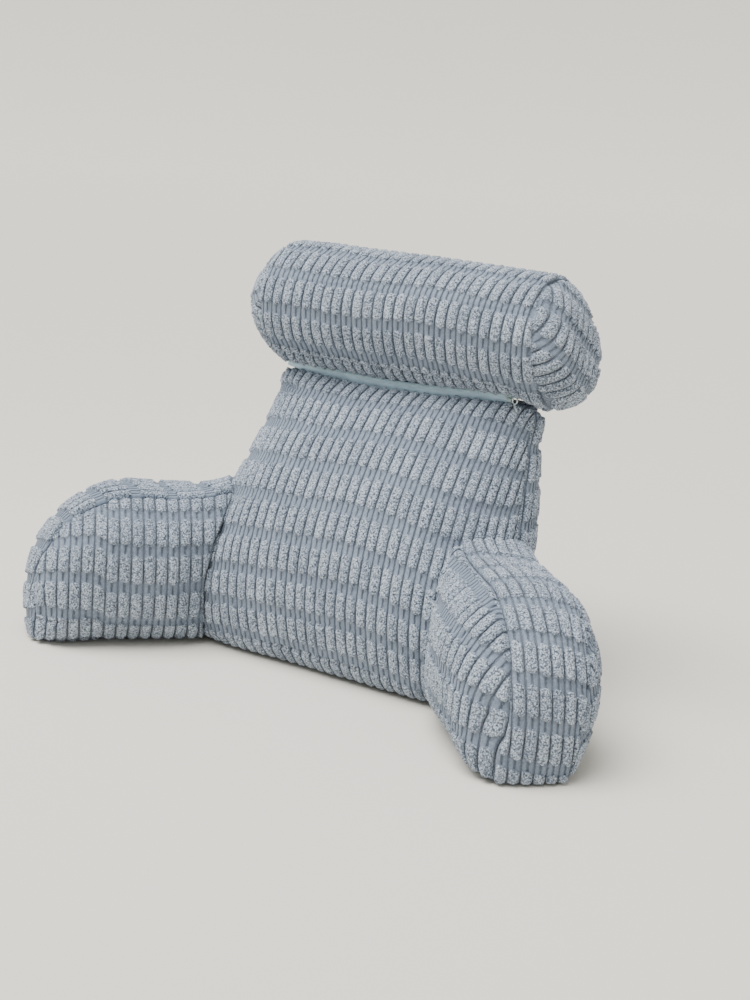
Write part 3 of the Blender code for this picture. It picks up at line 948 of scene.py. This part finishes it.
def plushMaterial(name):
    made, start, shader = newMaterial(name, {
        "Roughness": 0.95, "Specular IOR Level": 0.15, "Sheen Weight": 0.35,
        "Sheen Roughness": 0.45, "Sheen Tint": (0.86, 0.92, 1.0, 1.0)})
    c = cloth
    place = start.node("ShaderNodeTexCoord", output=3)
    uv = start.node("ShaderNodeUVMap", {"uv_map": "cloth"})
    fray = place.noise(420.0, 2.0, output=1)
    shake = start.node("ShaderNodeVectorMath", {"operation": "SUBTRACT"}, {0: fray, 1: (0.5, 0.5, 0.5)})
    shake = start.node("ShaderNodeVectorMath", {"operation": "SCALE"}, {0: shake, "Scale": 0.0022})
    moved = start.node("ShaderNodeVectorMath", {"operation": "ADD"}, {0: uv, 1: shake})
    u = start.node("ShaderNodeSeparateXYZ", None, {0: moved})
    v = start.node("ShaderNodeSeparateXYZ", None, {0: moved}, output=1)
    ribs = u / pitch
    rib = ribs.floor()
    s = (ribs.fraction() - 0.5).size() * 2.0
    drift = ((rib * c["slowTurn"]).math("SINE") * c["slowDrift"]
             + (rib * c["quickTurn"]).math("SINE") * c["quickDrift"])
    rows = (drift - v) / c["repeat"]
    t = rows.fraction()
    toEnd = (t.least(c["tuftShare"] - t) * (c["repeat"] / c["endRound"])).clamped()
    halfWidth = (1.0 - (1.0 - toEnd) ** 2.0).math("SQRT")
    q = (s / halfWidth.most(0.001)).clamped()
    tuft = 1.0 - q.ramp(0.74, 0.98)
    tw = (s - 0.5).size() * 2.0
    twin = 1.0 - tw.ramp(0.48, 0.93)
    fine = place.noise(900.0, 3.0, 0.7)
    curls = start.node("ShaderNodeTexVoronoi", None, {"Vector": place, "Scale": 520.0})
    clumps = place.noise(420.0, 3.0, 0.65)
    broad = place.noise(22.0, 3.0)
    cell = start.node("ShaderNodeCombineXYZ", None, {0: rib, 1: rows.floor()})
    own = start.node("ShaderNodeTexWhiteNoise", {"noise_dimensions": "2D"}, {"Vector": cell})
    # painted highlight on the tops of the curls and clumps, where the bump is highest, plus tone that differs
    # at random over broad patches and from tuft to tuft
    highlightAndPaleTone = ((1.0 - curls).ramp(0.40, 0.80) * 0.6 + clumps.ramp(0.45, 0.68) * 0.55
             + broad.ramp(0.4, 0.75) * 0.2 + (own - 0.5) * 0.35).clamped()
    # painted shade between the curls and in the hollows of the clumps, where the bump is lowest
    paintedCurlShade = (curls.ramp(0.42, 0.74) * 0.62 + (1.0 - clumps).ramp(0.48, 0.65) * 0.58).clamped()
    tuftColor = paintedCurlShade.mixed(highlightAndPaleTone.mixed(plush["tuft"], plush["tuftHighlightAndPaleTone"]), plush["tuftPaintedShade"])
    paler = (clumps.ramp(0.35, 0.7) * 0.6 + broad.ramp(0.4, 0.75) * 0.3).clamped()
    twinColor = paler.mixed(plush["twin"], plush["twinLight"])
    body = tuft.mixed(twinColor, tuftColor)
    # painted shade in the grooves between ribs, stronger between the tall tufts than between the sheared ribs
    grooveShadeMask = (1.0 - tuft) * (1.0 - twin)
    connect((grooveShadeMask * (toEnd * 0.26 + 0.58)).mixed(body, plush["grooveShade"]), shader, "Base Color")
    tuftBump = tuft * (1.1 - curls * 0.8 + clumps * 0.5 + fine * 0.3)
    connectBump(tuftBump + (1.0 - tuft) * twin * (0.52 + fine * 0.25), shader, 1.0, 0.0028)
    return made


for piece, node, slotName in (
        (backrestPiece, "backrest", "backrest_plush"), (armPieces[-1], "arm_left", "arm_left_plush"),
        (armPieces[1], "arm_right", "arm_right_plush"), (bolsterPiece, "bolster", "bolster_plush")):
    piece.data.materials.append(plushMaterial(slotName))
    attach(piece, "root")
    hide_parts(node)

print("plush on the cushions")

# the zip along the foot of the bolster
zipper = {
    "tooth": (0.00125, 0.0015, 0.0040),     # along the zip, deep, tall
    "toothPitch": 0.0019,
    "toothLean": 0.35,
    "upperReach": -0.0010,      # how far each tape runs on past its node, or stops short of it
    "lowerReach": 0.0010,
    "rightShort": 0.0020,
    "leftNarrowing": 0.050,     # over this much of its left end the zip narrows, down to this share
    "leftShare": 0.35,
    "tapeCuts": 40,
    "edges": 0.0003,            # how round the tapes' edges are, then the teeth's
    "toothEdges": 0.0005,
    "plate": (1.0, 0.0012, 1.15),       # share of the slider's length, thickness, share of its height
    "bridge": (0.55, 0.0030, 0.55),
    "plateDepth": 0.0016,       # from the front of the box, and the bridge's from its rear
    "bridgeDepth": 0.0017,
    "eyeRadius": 0.0019,
    "eyeWire": 0.00065,
    "eyePlace": (0.18, -0.0002),        # to the right as a share of the length, and back
    "blue": (0.57, 0.77, 0.90),
    "proud": 0.0030,            # how far forward the slider and its pull are moved, clear of the pile
    "sliderDrop": 0.0010,       # and how far down
    "pullDrop": 0.0022,
    "pullDepth": 0.0025,        # how far behind the middle of its node the ring hangs
    "ringRadius": 0.0038,
    "wire": 0.0008,
    "pullTurn": math.radians(-18),
    "stick": (0.0125, 0.0030, 0.0012),
    "stickOverlap": 0.001,
    "stickSlope": (0.62, -0.50, -0.60),
}


def meshPiece(name, bm):
    bmesh.ops.recalc_face_normals(bm, faces=bm.faces)
    mesh = bpy.data.meshes.new(name)
    bm.to_mesh(mesh)
    bm.free()
    mesh.shade_smooth()
    return addObject(name, mesh)


def newVerts(bm, before):
    # the bmesh's points apart from those that it had before
    return [v for v in bm.verts if v not in before]


def newEdges(bm, before):
    return [e for e in bm.edges if e.verts[0] not in before]


def softBox(bm, size, middle, bevel, segments=2, turn=None):
    before = set(bm.verts)
    bmesh.ops.create_cube(bm, size=1)
    bmesh.ops.scale(bm, vec=size, verts=newVerts(bm, before))
    bmesh.ops.bevel(bm, geom=newEdges(bm, before), offset=bevel, segments=segments, profile=0.5,
                    affect="EDGES", material=-1)
    made = newVerts(bm, before)
    if turn:
        bmesh.ops.rotate(bm, cent=(0, 0, 0), matrix=turn, verts=made)
    bmesh.ops.translate(bm, vec=middle, verts=made)


def onZipLine(co):
    # follows the climb of the zip line, and narrows to its left end
    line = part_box("zip_tape_upper")[0]
    least = zipper["leftShare"]
    share = least + (1 - least) * ramped(co[:, 0], line.x, zipper["leftNarrowing"])
    co[:, 2] = line.z + (co[:, 2] - line.z) * share + zipRise(co[:, 0])
    return co


def makeTape(name, node, down, up):
    low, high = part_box(node)
    high.x -= zipper["rightShort"]
    bm = bmesh.new()
    size = Vector((high.x - low.x, high.y - low.y, high.z - low.z + down + up))
    middle = Vector(((low.x + high.x) / 2, (low.y + high.y) / 2, (low.z - down + high.z + up) / 2))
    softBox(bm, size, middle, zipper["edges"])
    along = [e for e in bm.edges if abs(e.verts[0].co.x - e.verts[1].co.x) > 0.9 * size.x]
    bmesh.ops.subdivide_edges(bm, edges=along, cuts=zipper["tapeCuts"], use_grid_fill=True)
    tape = meshPiece(name, bm)
    setPoints(tape.data, onZipLine(getPoints(tape.data)))
    return tape


def makeTeeth():
    low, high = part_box("zip_coil")
    sx, sy, sz = zipper["tooth"]
    bm = bmesh.new()
    lean = Matrix.Rotation(zipper["toothLean"], 3, "Y")
    first = (low.x + sx, high.y - sy / 2, (low.z + high.z) / 2)
    softBox(bm, (sx, sy, sz), first, zipper["toothEdges"], 2, lean)
    teeth = meshPiece("zipTeeth", bm)
    row = teeth.modifiers.new("Row", "ARRAY")
    row.count = int((high.x - low.x - 2 * sx) / zipper["toothPitch"]) + 1
    row.use_relative_offset = False
    row.use_constant_offset = True
    row.constant_offset_displace = (zipper["toothPitch"], 0, 0)
    teeth = applied(teeth)
    setPoints(teeth.data, onZipLine(getPoints(teeth.data)))
    return teeth


def addRing(bm, radius, wire, segments, steps):
    # a closed ring in the XZ plane, and returns its points
    before = set(bm.verts)
    start = bmesh.ops.create_circle(bm, cap_ends=False, segments=segments, radius=wire)["verts"]
    bmesh.ops.translate(bm, vec=(radius, 0, 0), verts=start)
    bmesh.ops.spin(bm, geom=start + newEdges(bm, before), cent=(0, 0, 0), axis=(0, 1, 0),
                   angle=2 * math.pi, steps=steps, use_merge=True)
    bmesh.ops.remove_doubles(bm, verts=newVerts(bm, before), dist=0.00001)
    return newVerts(bm, before)


def makeSlider():
    # a front plate with a bridge behind it, and an eye for the pull
    low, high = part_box("zip_slider")
    middle = (low + high) / 2
    size = high - low
    bm = bmesh.new()
    for part, y, bevel, segments in (("plate", low.y + zipper["plateDepth"], 0.00055, 3),
                                     ("bridge", high.y - zipper["bridgeDepth"], 0.0006, 2)):
        long, thick, tall = zipper[part]
        softBox(bm, (size.x * long, thick, size.z * tall), (middle.x, y, middle.z), bevel, segments)
    eye = addRing(bm, zipper["eyeRadius"], zipper["eyeWire"], 10, 24)
    bmesh.ops.rotate(bm, cent=(0, 0, 0), matrix=Matrix.Rotation(math.pi / 2, 3, "X"), verts=eye)
    right, back = zipper["eyePlace"]
    bmesh.ops.translate(bm, vec=(middle.x + size.x * right, low.y + back, middle.z), verts=eye)
    shift = Vector((0, -zipper["proud"], float(zipRise(middle.x)) - zipper["sliderDrop"]))
    bmesh.ops.translate(bm, vec=shift, verts=bm.verts)
    return meshPiece("zipSlider", bm)


def makePull():
    low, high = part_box("zip_pull")
    radius, wire = zipper["ringRadius"], zipper["wire"]
    middle = Vector((low.x + radius + wire, (low.y + high.y) / 2 + zipper["pullDepth"], high.z - radius))
    bm = bmesh.new()
    ring = addRing(bm, radius, wire, 12, 32)
    bmesh.ops.rotate(bm, cent=(0, 0, 0), matrix=Matrix.Rotation(zipper["pullTurn"], 3, "Z"), verts=ring)
    slope = Vector((1, 0, 0)).rotation_difference(Vector(zipper["stickSlope"])).to_matrix()
    length, wide, thin = zipper["stick"]
    start = Vector((-zipper["stickOverlap"], 0, -radius))
    softBox(bm, (length, thin, wide), start + slope @ Vector((length / 2, 0, 0)), 0.0004, 3, slope)
    shift = Vector((0, -zipper["proud"], float(zipRise(middle.x)) - zipper["pullDrop"]))
    bmesh.ops.translate(bm, vec=middle + shift, verts=bm.verts)
    return meshPiece("zipPull", bm)


def tapeMaterial():
    made, start, shader = newMaterial("zip_tape", {"Roughness": 0.75, "Sheen Weight": 0.15})
    place = start.node("ShaderNodeTexCoord", output=3)
    weave = start.node("ShaderNodeTexWave", {"bands_direction": "DIAGONAL"},
                       {"Vector": place, "Scale": 280.0, "Distortion": 0.6}, output=1)
    wear = place.noise(60.0, 3.0)
    blue = zipper["blue"]
    tone = (weave * 0.5 + wear.ramp(0.3, 0.7) * 0.5).clamped()
    connect(tone.mixed([c * 0.82 for c in blue], [min(1, c * 1.12) for c in blue]), shader, "Base Color")
    connectBump(weave, shader, 0.5, 0.0003)
    return made


def teethMaterial():
    made, start, shader = newMaterial("zip_coil", {"Roughness": 0.38, "Coat Weight": 0.15})
    place = start.node("ShaderNodeTexCoord", output=3)
    wear = place.noise(240.0, 2.0)
    blue = zipper["blue"]
    connect(wear.mixed([c * 0.9 for c in blue], [min(1, c * 1.22) for c in blue]), shader, "Base Color")
    return made


def enamelMaterial(name, color, metallic, roughness):
    made, start, shader = newMaterial(name, {"Metallic": metallic})
    place = start.node("ShaderNodeTexCoord", output=3)
    wear = place.noise(500.0, 4.0)
    connect(wear.mixed([c * 0.8 for c in color], [min(1, c * 1.15) for c in color]), shader, "Base Color")
    connect(roughness + wear * 0.2, shader, "Roughness")
    connectBump(wear, shader, 0.15, 0.0002)
    return made


tapeLower = makeTape("zipTapeLower", "zip_tape_lower", zipper["lowerReach"], 0)
tapeUpper = makeTape("zipTapeUpper", "zip_tape_upper", 0, zipper["upperReach"])
tapeCloth = tapeMaterial()
sliderFinish = enamelMaterial("zip_slider", (0.27, 0.36, 0.37), 0.5, 0.3)
# the pull is the same greyish-green enamelled metal as the slider, and its pale colour is a painted highlight
pullWithPaintedHighlight = enamelMaterial("zip_pull", (0.72, 0.80, 0.80), 0.75, 0.22)
for piece, nodeName, slotName, finish in (
        (tapeLower, "zip_tape_lower", "zip_tape", tapeCloth),
        (tapeUpper, "zip_tape_upper", "zip_tape", tapeCloth),
        (makeTeeth(), "zip_coil", "zip_coil", teethMaterial()),
        (makeSlider(), "zip_slider", "zip_slider", sliderFinish),
        (makePull(), "zip_pull", "zip_pull", pullWithPaintedHighlight)):
    piece.data.materials.append(finish)
    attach(piece, "root")
    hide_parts(nodeName)
print("zip made")

# floor, light and camera
studio = {
    "floor": (0.77, 0.735, 0.66),
    "backdrop": (0.97, 0.98, 0.965),
    "sky": 0.69,
    "sunFrom": (-0.22, -0.29, 0.93),
    "sunPower": 3.95,
    "sunAngle": 46,
    "panelAt": (-0.35, -0.40, 1.55),
    "panelTo": (0, 0.05, 0.3),
    "panelPower": 12.0,
    "panelSize": 1.3,
    "floorSize": 30,
    "wallDistance": 9,
    "bend": 5,
    "wallHeight": 12,
    "wallTurn": math.radians(31.4),     # the wall squarely faces the camera
}
floorMesh = bmesh.new()
edge = bmesh.ops.create_grid(floorMesh, x_segments=1, y_segments=1, size=studio["floorSize"])["verts"]
bmesh.ops.translate(floorMesh, vec=(0, studio["wallDistance"] - studio["floorSize"], 0), verts=edge)
rim = [e for e in floorMesh.edges if all(v.co.y > studio["wallDistance"] - 0.1 for v in e.verts)]
bend = studio["bend"]
turned = bmesh.ops.spin(floorMesh, geom=rim, cent=(0, studio["wallDistance"], bend), axis=(1, 0, 0),
                        angle=math.pi / 2, steps=24)["geom_last"]
wallFoot = [e for e in turned if isinstance(e, bmesh.types.BMEdge)]
risen = bmesh.ops.extrude_edge_only(floorMesh, edges=wallFoot)["geom"]
wallTop = [v for v in risen if isinstance(v, bmesh.types.BMVert)]
bmesh.ops.translate(floorMesh, vec=(0, 0, studio["wallHeight"]), verts=wallTop)
bmesh.ops.rotate(floorMesh, cent=(0, 0, 0), matrix=Matrix.Rotation(studio["wallTurn"], 3, "Z"),
                 verts=floorMesh.verts)
floorData = bpy.data.meshes.new("floor")
floorMesh.to_mesh(floorData)
floorMesh.free()
floorData.shade_smooth()
floor = addObject("floor", floorData)
floorMaterial, _, _ = newMaterial("floor", {"Base Color": (*studio["floor"], 1.0), "Roughness": 0.9})
floorData.materials.append(floorMaterial)

world = bpy.data.worlds.new("studio")
bpy.context.scene.world = world
world.use_nodes = True
world.node_tree.nodes["Background"].inputs[0].default_value = (*studio["backdrop"], 1.0)
world.node_tree.nodes["Background"].inputs[1].default_value = studio["sky"]

sunData = bpy.data.lights.new("windowLight", "SUN")
sunData.energy = studio["sunPower"]
sunData.angle = math.radians(studio["sunAngle"])
sun = addObject("windowLight", sunData)
sun.rotation_euler = (-Vector(studio["sunFrom"])).to_track_quat("-Z", "Y").to_euler()

panelData = bpy.data.lights.new("ceilingPanel", "AREA")
panelData.energy = studio["panelPower"]
panelData.size = studio["panelSize"]
panel = addObject("ceilingPanel", panelData)
panel.location = studio["panelAt"]
panel.rotation_euler = (Vector(studio["panelTo"]) - panel.location).to_track_quat("-Z", "Y").to_euler()

cameraData = bpy.data.cameras.new("camera")
cameraData.sensor_fit = "VERTICAL"
cameraData.sensor_height = 36.0
cameraData.lens = 61.2
camera = addObject("camera", cameraData)
camera.matrix_world = Matrix((
    (0.84147, -0.18925, 0.50608, 1.0443),
    (0.53547, 0.16705, -0.82786, -1.6575),
    (0.07213, 0.96761, 0.24191, 0.6967),
    (0, 0, 0, 1)))
bpy.context.scene.camera = camera

print("floor, light and camera placed")
